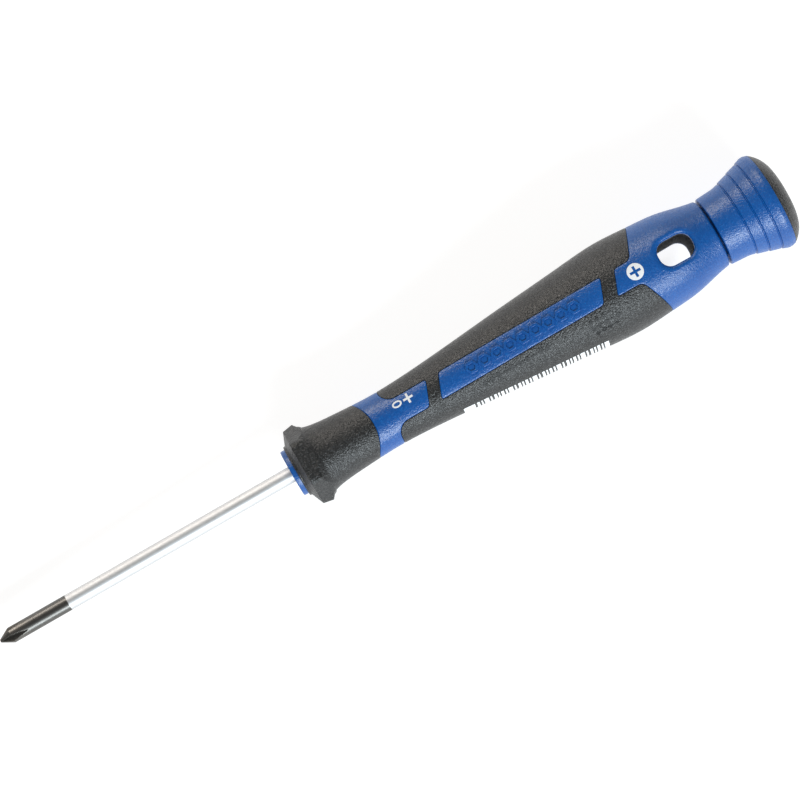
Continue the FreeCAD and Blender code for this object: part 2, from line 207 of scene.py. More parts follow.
def dress(item, material, body, slot, *nodes):
    """Gives a piece its material and the body it rides on, and hides the nodes it stands for. The slot is
    not used.
    """
    item.data.materials.clear()
    item.data.materials.append(material)
    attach(item, body)
    if nodes:
        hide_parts(*nodes)


def turn_outline(name, outline, around=192, closed=True):
    """Solid of revolution of an outline (station, radius) about the tool's axis."""
    angles = np.linspace(0, 2 * math.pi, around, endpoint=False)
    points = []
    rings = []
    for x, r in outline:
        if r < 1e-6:
            rings.append([len(points)] * around)
            points.append((x, 0, 0))
            continue
        rings.append(list(range(len(points), len(points) + around)))
        points += [(x, r * math.sin(a), r * math.cos(a)) for a in angles]
    faces = []
    pairs = list(zip(rings, rings[1:]))
    if closed and outline[0][1] > 1e-6:
        pairs.append((rings[-1], rings[0]))
    for low, high in pairs:
        for j in range(around):
            k = (j + 1) % around
            face = []
            for corner in (low[j], low[k], high[k], high[j]):
                if corner not in face:
                    face.append(corner)
            if len(face) > 2:
                faces.append(face)
    return make_object(name, points, faces)


def stops(breaks, pitch, fine=(0.02, 0.05, 0.09, 0.15, 0.23, 0.36)):
    """Rows between breaks, close together beside each break and evenly spaced between."""
    rows = []
    for low, high in zip(breaks, breaks[1:]):
        span = high - low
        near = [step for step in fine if step < 0.3 * span]
        last = near[-1] if near else 0
        count = max(1, round((span - 2 * last) / pitch))
        rows += [low] + [low + step for step in near]
        rows += list(np.linspace(low + last, high - last, count + 1)[1:-1])
        rows += [high - step for step in reversed(near)]
    rows.append(breaks[-1])
    return np.array(rows)


def round_drop(distance, size):
    """How far a rounded edge lies below the surface at a distance from the edge."""
    inside = np.clip(size - distance, 0, size)
    return size - np.sqrt(size ** 2 - inside ** 2)


def rim_drop(distance):
    """Depth of the slot's rim, which starts in a crisp edge and ends upright at the wall."""
    lean = 0.5
    part = lean + (1 - lean) * np.clip(1 - distance / SLOT_ROUND, 0, 1)
    flat = math.sqrt(1 - lean ** 2)
    return SLOT_DEPTH * (flat - np.sqrt(1 - part ** 2)) / flat


# ---------------------------------------------------------------- handle surface
# The half of the surface that faces +Z is a grid: rows u run along the tool and columns w
# around it. |w| < 1 is the band that holds the windows and the hanging slot, and |w| from
# 1 to 2 is the side of the handle. The other half is the same grid turned half round.
def hat(value, low, peak, high):
    return np.clip(np.minimum((value - low) / (peak - low), (high - value) / (high - peak)), 0, 1)


def ramp(value, low, high):
    part = np.clip((value - low) / (high - low), 0, 1)
    return part * part * (3 - 2 * part)


def band_half(u):
    return WINDOW_HALF + (SLOT_HALF_WIDTH - WINDOW_HALF) * ramp(u, REAR_TURN, SLOT_MIDDLE - 5)


def front_edge(y):
    """Rear edge of the front sleeve: an arc in plan."""
    return FRONT_MID - FRONT_BOW + np.sqrt(FRONT_BOW ** 2 - np.minimum(np.abs(y), 6) ** 2)


def main_front_edge(y):
    """Front edge of the main sleeve, rounded into the side of the neck's tongue."""
    across = np.clip(WINDOW_HALF + MAIN_ROUND - np.abs(y), 0, MAIN_ROUND)
    return MAIN_FRONT + MAIN_ROUND - np.sqrt(MAIN_ROUND ** 2 - across ** 2)


def main_rear_edge(y):
    """Rear edge of the main sleeve: round out of the tongue, then leaning back."""
    away = np.abs(y)
    turn_x = REAR_TURN + REAR_ROUND * math.sin(REAR_LEAN)
    turn_y = WINDOW_HALF + REAR_ROUND * (1 - math.cos(REAR_LEAN))
    across = np.clip(WINDOW_HALF + REAR_ROUND - away, 0, REAR_ROUND)
    arc = REAR_TURN + np.sqrt(np.maximum(REAR_ROUND ** 2 - across ** 2, 0))
    return np.where(away < turn_y, arc, turn_x + (away - turn_y) / math.tan(REAR_LEAN))


def round_rect_reach(dx, dy, half_x, half_y, corner):
    """Distance from the centre to a rounded rectangle's edge along a direction."""
    length = np.maximum(np.hypot(dx, dy), 1e-9)
    c = np.maximum(np.abs(dx) / length, 1e-9)
    s = np.maximum(np.abs(dy) / length, 1e-9)
    to_x = half_x / c
    to_y = half_y / s
    cx = half_x - corner
    cy = half_y - corner
    along = c * cx + s * cy
    arc = along + np.sqrt(np.maximum(along ** 2 - cx ** 2 - cy ** 2 + corner ** 2, 0))
    return np.where(to_x * s <= cy, to_x, np.where(to_y * c <= cx, to_y, arc))


def slot_distance(dx, dy):
    """Distance outside the hanging slot's outline, in plan."""
    qx = np.abs(dx) - (SLOT_HALF_LENGTH - SLOT_CORNER)
    qy = np.abs(dy) - (SLOT_HALF_WIDTH - SLOT_CORNER)
    outside = np.hypot(np.maximum(qx, 0), np.maximum(qy, 0))
    return outside + np.minimum(np.maximum(qx, qy), 0) - SLOT_CORNER


def round_windows(u, w):
    """Eases the grid near each corner of a window, so that the corner becomes an arc."""
    size = WINDOW_CORNER
    away = np.where(np.abs(w) < 1, np.abs(w) * WINDOW_HALF, WINDOW_HALF + (np.abs(w) - 1) * SIDE_LENGTH)
    for corner, way in ((TONGUE_END, 1), (PANEL_FRONT, -1), (PANEL_BACK, 1), (REAR_TONGUE, -1)):
        du = (u - corner) * way + size
        db = away - WINDOW_HALF + size
        level = np.maximum(du, db) / size
        pull = np.maximum(du, db) / np.maximum(np.hypot(du, db), 1e-9)
        pull = 1 + (pull - 1) * (1 - ramp(level, 1, 2))
        here = (du > 0) & (db > 0) & (level < 2)
        u = np.where(here, corner + (du * pull - size) * way, u)
        away = np.where(here, WINDOW_HALF - size + db * pull, away)
    inside = away / WINDOW_HALF
    outside = 1 + (away - WINDOW_HALF) / SIDE_LENGTH
    return u, np.sign(w) * np.where(away < WINDOW_HALF, inside, outside)


def ease_slot(x, y, z):
    """Eases the grid's squares near the hanging slot into its outline, and sinks its rim."""
    dx = x - SLOT_MIDDLE
    level = np.maximum(np.abs(dx) / SLOT_HALF_LENGTH, np.abs(y) / SLOT_HALF_WIDTH)
    corner = SLOT_CORNER * (1 - ramp(level, 1.0, 1.9))
    near = (level > 0.98) & (level < 1.9)
    pull = round_rect_reach(dx, y, SLOT_HALF_LENGTH, SLOT_HALF_WIDTH, np.maximum(corner, 1e-3))
    full = round_rect_reach(dx, y, SLOT_HALF_LENGTH, SLOT_HALF_WIDTH, 1e-3)
    pull = np.where(near, pull / full, 1)
    x = SLOT_MIDDLE + dx * pull
    y = y * pull
    z = np.where(near, np.sqrt(np.maximum(form_radius(x) ** 2 - y ** 2, 0)), z)
    rim = slot_distance(x - SLOT_MIDDLE, y)
    drop = np.where(level < 2.5, rim_drop(np.maximum(rim, 0)), 0)
    return x, y, z - drop


def handle_half(u, w):
    """Points of the half that faces +Z, for arrays of rows u and columns w."""
    u, w = np.meshgrid(u, w, indexing="ij")
    u, w = round_windows(u, w)
    side = np.clip(np.abs(w) - 1, 0, 1)
    sign = np.sign(w)
    half = band_half(u)
    lean = WINDOW_LEAN * (ramp(u, MAIN_FRONT + 2, TONGUE_END - 1) - ramp(u, REAR_TONGUE + 0.2, REAR_TURN))
    lean = lean * np.where(side > 0, sign * (1 - side), w)
    front = np.clip((MAIN_FRONT - u) / (MAIN_FRONT - FRONT_MID), 0, 1)
    main = hat(u, FRONT_MID, MAIN_FRONT, TONGUE_END - 0.6)
    rear = hat(u, REAR_TURN - 12, REAR_TURN, FORM_END)
    x = u.copy()
    for _ in range(6):
        r = form_radius(x)
        edge = np.arcsin(half / r)
        angle = np.where(side > 0, sign * (edge + side * (math.pi / 2 - edge)),
                         np.arcsin(np.clip(half * w / r, -1, 1)))
        y = r * np.sin(angle)
        x = u + lean + front * (front_edge(y) - FRONT_MID)
        x += main * (np.where(side > 0, main_front_edge(y), MAIN_FRONT + MAIN_ROUND) - MAIN_FRONT)
        x += rear * np.where(side > 0, main_rear_edge(y) - REAR_TURN, 0)
    z = r * np.cos(angle)
    return np.stack(ease_slot(x, y, z), axis=-1)


ROWS = stops(
    [FRONT_MID, MAIN_FRONT, TONGUE_END, PANEL_FRONT, PANEL_BACK, REAR_TONGUE, REAR_TURN,
     SLOT_MIDDLE - SLOT_HALF_LENGTH - 1.3, SLOT_MIDDLE - SLOT_HALF_LENGTH], 0.34)
ROWS = np.concatenate([
    ROWS[:-1],
    np.linspace(SLOT_MIDDLE - SLOT_HALF_LENGTH, SLOT_MIDDLE + SLOT_HALF_LENGTH, 24),
    SLOT_MIDDLE + SLOT_HALF_LENGTH + np.array([0.03, 0.1, 0.2, 0.32, 0.45, 0.6, 0.75, 0.9, 1.1, 1.4, 1.8]),
    np.linspace(SLOT_MIDDLE + SLOT_HALF_LENGTH + 2.2, FORM_END, 6),
])
BAND = np.array([0, 0.02, 0.05, 0.09, 0.15, 0.23, 0.36]) / WINDOW_HALF
SIDE = np.array([0.02, 0.05, 0.09, 0.15, 0.23, 0.36, 0.5, 0.7, 0.9, 1.15]) / SIDE_LENGTH
BAND_MIDDLE = np.linspace(-1 + BAND[-1], 1 - BAND[-1], 16)[1:-1]
BAND_COLUMNS = np.concatenate([-1 + BAND, BAND_MIDDLE, 1 - BAND[::-1]])
SIDE_COLUMNS = np.concatenate([1 + SIDE, np.linspace(1 + SIDE[-1], 2, 26)[1:]])
COLUMNS = np.concatenate([-SIDE_COLUMNS[::-1], BAND_COLUMNS, SIDE_COLUMNS])[:-1]
BLUE, BLACK, HOLE = 0, 1, 2


def cell_kinds():
    """Which material each cell of a half's grid belongs to."""
    u = (ROWS[1:] + ROWS[:-1]) / 2
    w = (COLUMNS + np.append(COLUMNS[1:], 2.0)) / 2
    u, w = np.meshgrid(u, w, indexing="ij")
    band = np.abs(w) < 1
    strap = ((u > TONGUE_END) & (u < PANEL_FRONT)) | ((u > PANEL_BACK) & (u < REAR_TONGUE))
    sleeve = (u > MAIN_FRONT) & (u < REAR_TURN)
    kinds = np.where(np.where(band, strap, sleeve), BLACK, BLUE)
    hole = band & (np.abs(u - SLOT_MIDDLE) < SLOT_HALF_LENGTH)
    return np.where(hole, HOLE, kinds)


def whole_handle():
    """Grid points all the way round, and the kind of each grid cell."""
    half = handle_half(ROWS, COLUMNS)
    other = half * np.array([1, -1, -1])
    points = np.concatenate([half, other], axis=1)
    kinds = cell_kinds()
    kinds = np.concatenate([kinds, kinds], axis=1)
    return points, kinds


def seam_edges(kinds):
    """Pairs of grid vertices on each side of which the material changes, and the cells there."""
    rows, columns = kinds.shape
    for i in range(rows):
        for j in range(columns):
            right = (j + 1) % columns
            if kinds[i, j] != kinds[i, right]:
                yield (i, right), (i + 1, right), (kinds[i, j], kinds[i, right])
            if i + 1 < rows and kinds[i, j] != kinds[i + 1, j]:
                yield (i + 1, j), (i + 1, right), (kinds[i, j], kinds[i + 1, j])


def seam_distance(points, kinds):
    """Distance of each grid point from the nearest seam between blue and black."""
    samples = []
    for a, b, pair in seam_edges(kinds):
        if HOLE in pair:
            continue
        start = points[a]
        run = points[b] - start
        for part in np.arange(0, 1, 0.03 / max(np.linalg.norm(run), 0.03)):
            samples.append(start + run * part)
    columns = points.shape[1]
    for j in range(columns):
        for part in (0, 0.25, 0.5, 0.75):
            samples.append(points[0, j] * (1 - part) + points[0, (j + 1) % columns] * part)
    tree = kdtree.KDTree(len(samples))
    for index, sample in enumerate(samples):
        tree.insert(sample, index)
    tree.balance()
    flat = points.reshape(-1, 3)
    return np.array([tree.find(point)[2] for point in flat]).reshape(points.shape[:2])


def soften(points, distance, size):
    """Rounds the surface down towards the seams, which leaves a fine groove there."""
    radius = np.linalg.norm(points[..., 1:], axis=-1)
    result = points.copy()
    result[..., 1:] *= (1 - round_drop(distance, size) / radius)[..., None]
    return result


def sink(points, depth):
    """The same grid a depth nearer to the axis."""
    radius = np.linalg.norm(points[..., 1:], axis=-1, keepdims=True)
    sunk = points.copy()
    sunk[..., 1:] *= 1 - depth / radius
    return sunk


class Builder:
    """Collects points and faces for one closed piece."""

    def __init__(self):
        self.points = []
        self.faces = []
        self.known = {}

    def add(self, key, point):
        if key not in self.known:
            self.known[key] = len(self.points)
            self.points.append(tuple(point))
        return self.known[key]

    def face(self, corners):
        flat = []
        for corner in corners:
            if corner not in flat:
                flat.append(corner)
        if len(flat) > 2:
            self.faces.append(flat)


def grid_cells(kinds, wanted):
    columns = kinds.shape[1]
    for i, j in zip(*np.nonzero(kinds == wanted)):
        yield (i, j), (i, (j + 1) % columns), (i + 1, (j + 1) % columns), (i + 1, j)


def add_step(builder, upper, lower, a, b):
    """Face between the outer and the inner surface along one edge of the grid."""
    builder.face([
        builder.add(("up", a), upper[a]), builder.add(("up", b), upper[b]),
        builder.add(("low", b), lower[b]), builder.add(("low", a), lower[a])])


def build_main_sleeve(upper, lower, kinds):
    builder = Builder()
    for corners in grid_cells(kinds, BLACK):
        builder.face([builder.add(("up", c), upper[c]) for c in corners])
        builder.face([builder.add(("low", c), lower[c]) for c in reversed(corners)])
    for a, b, pair in seam_edges(kinds):
        if BLACK in pair:
            add_step(builder, upper, lower, a, b)
    return make_object("grip_main_sleeve", builder.points, builder.faces)


def add_rings(builder, first, outline, angles, label):
    """Rings from a row of vertex numbers along an outline, closed by a pole at the end."""
    previous = first
    count = len(first)
    for index, (x, r) in enumerate(outline):
        if r < 1e-6:
            pole = builder.add((label, "pole"), (x, 0, 0))
            ring = [pole] * count
        else:
            ring = [builder.add((label, index, j), (x, r * math.sin(a), r * math.cos(a)))
                    for j, a in enumerate(angles)]
        for j in range(count):
            k = (j + 1) % count
            builder.face([previous[j], previous[k], ring[k], ring[j]])
        previous = ring


def add_blue_surface(builder, upper, lower, kinds):
    """Surface in the windows, hidden surface under the sleeves, and the steps between."""
    for corners in grid_cells(kinds, BLUE):
        builder.face([builder.add(("up", c), upper[c]) for c in corners])
    for corners in grid_cells(kinds, BLACK):
        builder.face([builder.add(("low", c), lower[c]) for c in corners])
    for a, b, pair in seam_edges(kinds):
        if HOLE not in pair:
            add_step(builder, upper, lower, a, b)


# how far down the hanging slot's wall its rows of faces begin and end
WALL_LEVELS = (0, 0.055, 0.2, 0.35, 0.5, 0.65, 0.8, 0.945, 1)


def slot_ladder(builder, upper, place, mirror):
    """Vertex numbers down the slot's wall, from the rim on one side to the rim on the other."""
    top = upper[place]
    bottom = upper[mirror]
    ladder = [builder.add(("up", place), top)]
    ladder += [builder.add(("wall", place, level), top + (bottom - top) * level)
               for level in WALL_LEVELS[1:-1]]
    ladder.append(builder.add(("up", mirror), bottom))
    return ladder


def add_slot_walls(builder, upper, kinds):
    """Walls of the hanging slot. Gives the numbers of the faces that lie below its rims, which get painted
    shade.
    """
    half = kinds.shape[1] // 2
    middle = int(np.argmin(np.abs(COLUMNS)))
    last = len(WALL_LEVELS) - 2
    slot_shade_faces = []
    for a, b, pair in seam_edges(kinds):
        if HOLE not in pair or a[1] >= half:
            continue
        first, second = [
            slot_ladder(builder, upper, (i, j), (i, half + 2 * middle - j)) for i, j in (a, b)]
        for level in range(last + 1):
            if 0 < level < last:
                slot_shade_faces.append(len(builder.faces))
            builder.face([first[level], second[level], second[level + 1], first[level + 1]])
    return slot_shade_faces


def add_front_end(builder, upper, lower):
    """Step down under the front sleeve, then the disc that shows at the blade."""
    columns = upper.shape[1]
    rim = [builder.add(("up", (0, j)), upper[0, j]) for j in range(columns)]
    foot = [builder.add(("low", (0, j)), lower[0, j]) for j in range(columns)]
    for j in range(columns):
        k = (j + 1) % columns
        builder.face([rim[j], rim[k], foot[k], foot[j]])
    angles = [math.atan2(lower[0, j, 1], lower[0, j, 2]) for j in range(columns)]
    disc = rounded([
        (61.7, 3.9, 0), (61.1, 4.45, 0), (BLADE_EXPOSED, 4.45, 0.25), (BLADE_EXPOSED, 1.95, 0.1),
        (BLADE_EXPOSED + 0.45, 1.55, 0), (BLADE_EXPOSED + 3, 1.55, 0), (BLADE_EXPOSED + 3, 0, 0)])
    add_rings(builder, foot, disc, angles, "front")


def add_rear_end(builder, upper):
    """Rounded end, bearing face and journal."""
    last = len(ROWS) - 1
    columns = upper.shape[1]
    rim = [builder.add(("up", (last, j)), upper[last, j]) for j in range(columns)]
    angles = [math.atan2(upper[last, j, 1], upper[last, j, 2]) for j in range(columns)]
    tail = rounded([
        (FORM_END, CORE_END_RADIUS, 0), (CORE_END, CORE_END_RADIUS - 0.12, CORE_END_ROUND),
        (CORE_END, JOURNAL_RADIUS, 0), (JOURNAL_END, JOURNAL_RADIUS, 0.4), (JOURNAL_END, 0, 0)], 8)
    add_rings(builder, rim, tail[1:], angles, "rear")


def build_core(upper, lower, kinds):
    """Blue core in one closed piece, and the faces of the slot's walls that take painted shade, a dark grey
    in place of the blue.
    """
    builder = Builder()
    add_blue_surface(builder, upper, lower, kinds)
    slot_shade_faces = add_slot_walls(builder, upper, kinds)
    add_front_end(builder, upper, lower)
    add_rear_end(builder, upper)
    return make_object("handle_core_body", builder.points, builder.faces), slot_shade_faces


# ---------------------------------------------------------------- front sleeve with its flange
def soft_min(a, b, size):
    blend = np.clip(0.5 + 0.5 * (b - a) / size, 0, 1)
    return b * (1 - blend) + a * blend - size * blend * (1 - blend)


def front_sleeve_outline():
    """Outline (station, radius) of the flange and the sleeve behind it, before the flats."""
    flange = rounded([
        (61.12, 4.47, 0), (61.12, 4.93, 0.1), (61.5, 4.98, 0.1), (62.5, 7.38, 0.18),
        (64.45, 7.8, 0.14), (65.05, 7.0, 0.4), (65.55, 6.72, 0)], 6)
    tail = FORM_CURVE[(FORM_CURVE[:, 0] > 65.7) & (FORM_CURVE[:, 0] < FRONT_MID - 0.3)][::6]
    edge = FRONT_MID - np.array([0.2, 0.11, 0.075, 0.04, 0.015, 0])
    rear = [(station, float(form_radius(station))) for station in edge]
    return np.concatenate([flange, tail, rear])


def front_sleeve_surface(outline, angles):
    """Stations and radii of the outer surface: six flats on the flange, one of them facing
    +Z, and a rear edge that is an arc in plan."""
    facet = math.radians(60)
    local = np.mod(angles + facet / 2, facet) - facet / 2
    flat = FLAT_APOTHEM / np.cos(local)
    in_flange = (outline[:, 0] < FLANGE_END)[:, None]
    radius = outline[:, 1][:, None] * np.ones(len(angles))
    radius = np.where(in_flange, soft_min(radius, flat[None, :] * np.ones_like(radius), 0.07), radius)
    station = outline[:, 0][:, None] * np.ones(len(angles))
    stretch = np.clip((station - 69) / (FRONT_MID - 69), 0, 1)
    for _ in range(3):
        y = radius * np.sin(angles)[None, :]
        moved = station + stretch * (front_edge(y) - FRONT_MID)
        radius = np.where(stretch > 0, form_radius(moved), radius)
    edge_gap = FRONT_MID - outline[:, 0]
    drop = round_drop(np.maximum(edge_gap, 0), BLACK_ROUND)[:, None]
    return moved, radius - drop


def build_front_sleeve():
    """Soft sleeve behind the blade, turned, with a hexagonal flange."""
    outline = front_sleeve_outline()
    around = 240
    angles = np.linspace(0, 2 * math.pi, around, endpoint=False)
    moved, radius = front_sleeve_surface(outline, angles)
    upper = np.stack([moved, radius * np.sin(angles), radius * np.cos(angles)], axis=-1)
    hidden = np.interp(outline[:, 0], [61.1, 61.7, 70, FRONT_MID], [4.46, 3.92, 3.95, 4.05])[:, None]
    lower = np.stack([moved, hidden * np.sin(angles), hidden * np.cos(angles)], axis=-1)
    builder = Builder()
    rows = len(outline)
    for i in range(rows - 1):
        for j in range(around):
            k = (j + 1) % around
            corners = ((i, j), (i, k), (i + 1, k), (i + 1, j))
            builder.face([builder.add(("up", c), upper[c]) for c in corners])
            builder.face([builder.add(("low", c), lower[c]) for c in reversed(corners)])
    for i in (0, rows - 1):
        for j in range(around):
            add_step(builder, upper, lower, (i, j), (i, (j + 1) % around))
    return make_object("grip_front_sleeve", builder.points, builder.faces, 40)


# ---------------------------------------------------------------- blade
FLUTE_WHEEL = 29.0
FLUTE_START = 0.36
FLUTE_SLOPE = math.radians(6)
FLUTE_HALF_ANGLE = math.radians(46)
BLADE_TURN = math.radians(29)
BLACK_LENGTH = 14.0       # of the blade, burnished black


def build_blade():
    """Round rod with a blunt cone and four V-shaped flutes left by a grinding wheel."""
    cone = rounded([
        (0, 0, 0), (0, 0.28, 0.06), (2.2, BLADE_RADIUS, 0.25), (8, BLADE_RADIUS, 0)], 4)
    fine = np.arange(0.1, 8, 0.07)
    profile_x = np.unique(np.concatenate([cone[:, 0], fine]))
    profile_r = np.interp(profile_x, cone[1:, 0], cone[1:, 1])
    around = 200
    angles = np.linspace(0, 2 * math.pi, around, endpoint=False)
    quarter = math.pi / 2
    local = np.abs(np.mod(angles + BLADE_TURN + quarter / 2, quarter) - quarter / 2)
    wheel_x = -FLUTE_WHEEL * math.sin(FLUTE_SLOPE)
    wheel_z = FLUTE_START + FLUTE_WHEEL * math.cos(FLUTE_SLOPE)
    valley = wheel_z - np.sqrt(FLUTE_WHEEL ** 2 - (profile_x - wheel_x) ** 2)
    spread = np.maximum(np.cos(local) - np.sin(local) / math.tan(FLUTE_HALF_ANGLE), 1e-3)
    wall = np.minimum(valley[:, None] / spread[None, :], 3)
    radius = soft_min(wall, profile_r[:, None] * np.ones(around), 0.05)
    builder = Builder()
    nose = builder.add("nose", (0, 0, 0))
    previous = None
    for i, x in enumerate(profile_x):
        ring = [builder.add((i, j), (x, radius[i, j] * math.sin(a), radius[i, j] * math.cos(a)))
                for j, a in enumerate(angles)]
        for j in range(around):
            k = (j + 1) % around
            builder.face([nose, ring[j], ring[k]] if previous is None
                         else [previous[j], previous[k], ring[k], ring[j]])
        previous = ring
    rest = [(x, BLADE_RADIUS) for x in np.linspace(8.5, BLADE_EXPOSED, 60)]
    rest += [(BLADE_EXPOSED + 2.6, BLADE_RADIUS), (BLADE_EXPOSED + 2.6, 0)]
    add_rings(builder, previous, rest, list(angles), "rod")
    return make_object("blade_rod", builder.points, builder.faces, 30)


# ---------------------------------------------------------------- cap
CAP_FRONT = 147.6
CAP_RIM = 159.4
CAP_RIM_RADIUS = 9.05
DOME_FLAT = 3.8
DOME_BOW = 6.0
STEP_FIRST = 152.35       # groove in front of the cap's first step
STEP_PITCH = 2.25
STEP_RADIUS = 7.14
STEP_SLOPE = 0.33


def build_cap():
    """Turning cap: plain waist, then three steps that each start in a fine groove."""
    bore = JOURNAL_RADIUS + 0.05
    corners = [
        (CAP_FRONT, bore, 0), (CAP_FRONT, 6.65, 0.22), (149.2, 6.76, 2.0),
        (150.9, 6.86, 2.5), (151.6, 6.98, 1.5)]
    for index in range(3):
        middle = STEP_FIRST + STEP_PITCH * index
        before = STEP_RADIUS + STEP_PITCH * STEP_SLOPE * index
        corners += [
            (middle - 0.17, before, 0.12), (middle - 0.04, before - 0.22, 0.05),
            (middle + 0.07, before - 0.2, 0.05), (middle + 0.2, before + 0.2, 0.11)]
    corners += [
        (158.1, 9.2, 1.2), (158.7, 9.21, 0.6), (CAP_RIM, CAP_RIM_RADIUS, 0.1), (CAP_RIM, 7.4, 0),
        (158.2, 7.4, 0), (158.2, 5.6, 0), (151.0, 5.6, 0), (151.0, bore, 0)]
    return turn_outline("swivel_cap_body", rounded(corners, 6))


def build_inlay():
    """Soft domed end of the cap."""
    rim = np.array([CAP_RIM + 0.02, CAP_RIM_RADIUS - 0.04])
    flat = np.array([TOOL_LENGTH - 0.01, DOME_FLAT])
    chord = flat - rim
    half = np.linalg.norm(chord) / 2
    inward = np.array([chord[1], -chord[0]]) / (2 * half)
    centre = (rim + flat) / 2 + inward * math.sqrt(DOME_BOW ** 2 - half ** 2)
    start = math.atan2(rim[1] - centre[1], rim[0] - centre[0])
    end = math.atan2(flat[1] - centre[1], flat[0] - centre[0])
    bow = [centre + DOME_BOW * np.array([math.cos(a), math.sin(a)]) for a in np.linspace(start, end, 22)]
    bow = [(min(x, TOOL_LENGTH), r) for x, r in bow]
    outline = [(158.2, 0), (158.2, 7.35), (CAP_RIM + 0.02, 7.35), (CAP_RIM + 0.02, 8.9)]
    outline += bow + [(TOOL_LENGTH, 2.4), (TOOL_LENGTH, 0)]
    return turn_outline("cap_inlay_dome", np.array(outline), closed=False)


# ---------------------------------------------------------------- marks on the surface
def flat_shape(loops, thickness, bevel=0.0):
    """Filled flat outline in millimetres, as a mesh with a small thickness."""
    curve = bpy.data.curves.new("outline", "CURVE")
    curve.dimensions = "2D"
    curve.fill_mode = "BOTH"
    curve.extrude = thickness / 2
    curve.bevel_depth = bevel
    curve.bevel_resolution = 2
    for loop in loops:
        line = curve.splines.new("POLY")
        line.points.add(len(loop) - 1)
        for point, (a, b) in zip(line.points, loop):
            point.co = (a, b, 0, 1)
        line.use_cyclic_u = True
    carrier = bpy.data.objects.new("outline", curve)
    bpy.context.scene.collection.objects.link(carrier)
    bpy.context.view_layer.update()
    mesh = bpy.data.meshes.new_from_object(carrier.evaluated_get(bpy.context.evaluated_depsgraph_get()))
    bpy.data.objects.remove(carrier)
    bpy.data.curves.remove(curve)
    return mesh


def cut_strips(shape, pitch):
    """Cuts a flat shape into narrow strips both ways, so that it can bend."""
    everything = [vert.co.copy() for vert in shape.verts]
    for axis in (0, 1):
        low = min(co[axis] for co in everything)
        high = max(co[axis] for co in everything)
        for cut in np.arange(low + pitch / 2, high, pitch):
            normal = [0, 0, 0]
            normal[axis] = 1
            place = [0, 0, 0]
            place[axis] = float(cut)
            parts = shape.verts[:] + shape.edges[:] + shape.faces[:]
            bmesh.ops.bisect_plane(shape, geom=parts, plane_co=place, plane_no=normal)
    bmesh.ops.remove_doubles(shape, verts=shape.verts, dist=1e-5)


def wrap_marks(name, loops, station, azimuth, thickness=0.04, lift=0.012, bevel=0.0, pitch=0.3):
    """Lays flat outlines on the handle. In an outline, a runs along the tool and b runs round
    it from the azimuth, which is measured from the panel's centre line towards +Y."""
    mesh = flat_shape(loops, thickness, bevel)
    shape = bmesh.new()
    shape.from_mesh(mesh)
    bpy.data.meshes.remove(mesh)
    cut_strips(shape, pitch)
    shape.verts.ensure_lookup_table()
    points = []
    for vert in shape.verts:
        x = station + vert.co.x
        base = float(form_radius(x))
        angle = azimuth + vert.co.y / base
        radius = base + lift + vert.co.z
        points.append((x, radius * math.sin(angle), radius * math.cos(angle)))
    faces = [[vert.index for vert in face.verts] for face in shape.faces]
    shape.free()
    return make_object(name, points, faces, 50)


def cross_loop(arm, bar):
    corners = [(arm, bar), (bar, bar), (bar, arm)]
    loop = []
    for quarter in range(4):
        c = math.cos(quarter * math.pi / 2)
        s = math.sin(quarter * math.pi / 2)
        loop += [(c * a - s * b, s * a + c * b) for a, b in corners]
    return loop


def oval_loop(half_a, half_b, centre=(0, 0), count=40):
    return [(centre[0] + half_a * math.cos(2 * math.pi * k / count),
             centre[1] + half_b * math.sin(2 * math.pi * k / count)) for k in range(count)]


def box_loop(low_a, high_a, low_b, high_b):
    return [(low_a, low_b), (high_a, low_b), (high_a, high_b), (low_a, high_b)]


def build_symbol():
    """White disc that shows the drive type: a plain cross left open to the blue."""
    loops = [oval_loop(1.55, 1.55, count=72), cross_loop(1.05, 0.25)]
    return wrap_marks("drive_symbol_disc", loops, 130.95, 0)


def build_size_mark():
    """White size mark on the neck: a plus sign and the digit 0, read across the handle."""
    plus = [(a + 1.1, b + 1.0) for a, b in cross_loop(0.95, 0.2)]
    outer = oval_loop(0.93, 0.64, (-1.15, 1.0))
    inner = oval_loop(0.62, 0.34, (-1.15, 1.0))
    return wrap_marks("size_mark", [plus, outer, inner], 83.8, 0, thickness=0.03)


def build_bar_strip():
    """White strip along the side: a solid block and plain bars in a repeating rhythm that
    encodes nothing."""
    loops = [box_loop(0, 2.2, -5.0, 0)]
    position = 2.6
    rhythm = ((0.5, 0.34), (0.3, 0.28), (0.85, 0.34), (0.3, 0.44), (0.5, 0.28), (0.3, 0.3))
    index = 0
    while position < 28.4:
        width, gap = rhythm[index % len(rhythm)]
        loops.append(box_loop(position, position + width, -5.0, 0))
        position += width + gap
        index += 1
    return wrap_marks("bar_strip", loops, 92.6, math.radians(-66.5), thickness=0.03, pitch=0.5)


def hexagon_loop(reach, middle):
    angles = [k * math.pi / 3 for k in range(6)]
    return [(middle + reach * math.cos(angle), reach * math.sin(angle)) for angle in angles]


def build_panel_relief():
    """Row of plain hexagons raised as outlines from the long panel."""
    loops = []
    for index in range(9):
        middle = (index - 4) * 2.62
        loops += [hexagon_loop(1.2, middle), hexagon_loop(0.82, middle)]
    return wrap_marks("panel_relief", loops, 107.9, 0, thickness=0.3, lift=-0.02, bevel=0.09, pitch=0.45)


def diamond_loop(reach, middle, across):
    return [(middle + reach, across), (middle, across + reach),
            (middle - reach, across), (middle, across - reach)]


MARKS_MIDDLE = 112.0
# first and last station, place across and half height of each row of marks
MARK_ROWS = (
    (97.6, 111.2, -3.9, 0.6), (119.2, 124.4, -4.0, 0.5),
    (119.2, 125.0, -5.3, 0.5), (119.6, 124.0, -6.6, 0.5))
MARK_STROKE = 0.36
MARK_GAP = 0.22
DASH_HALF = 0.13


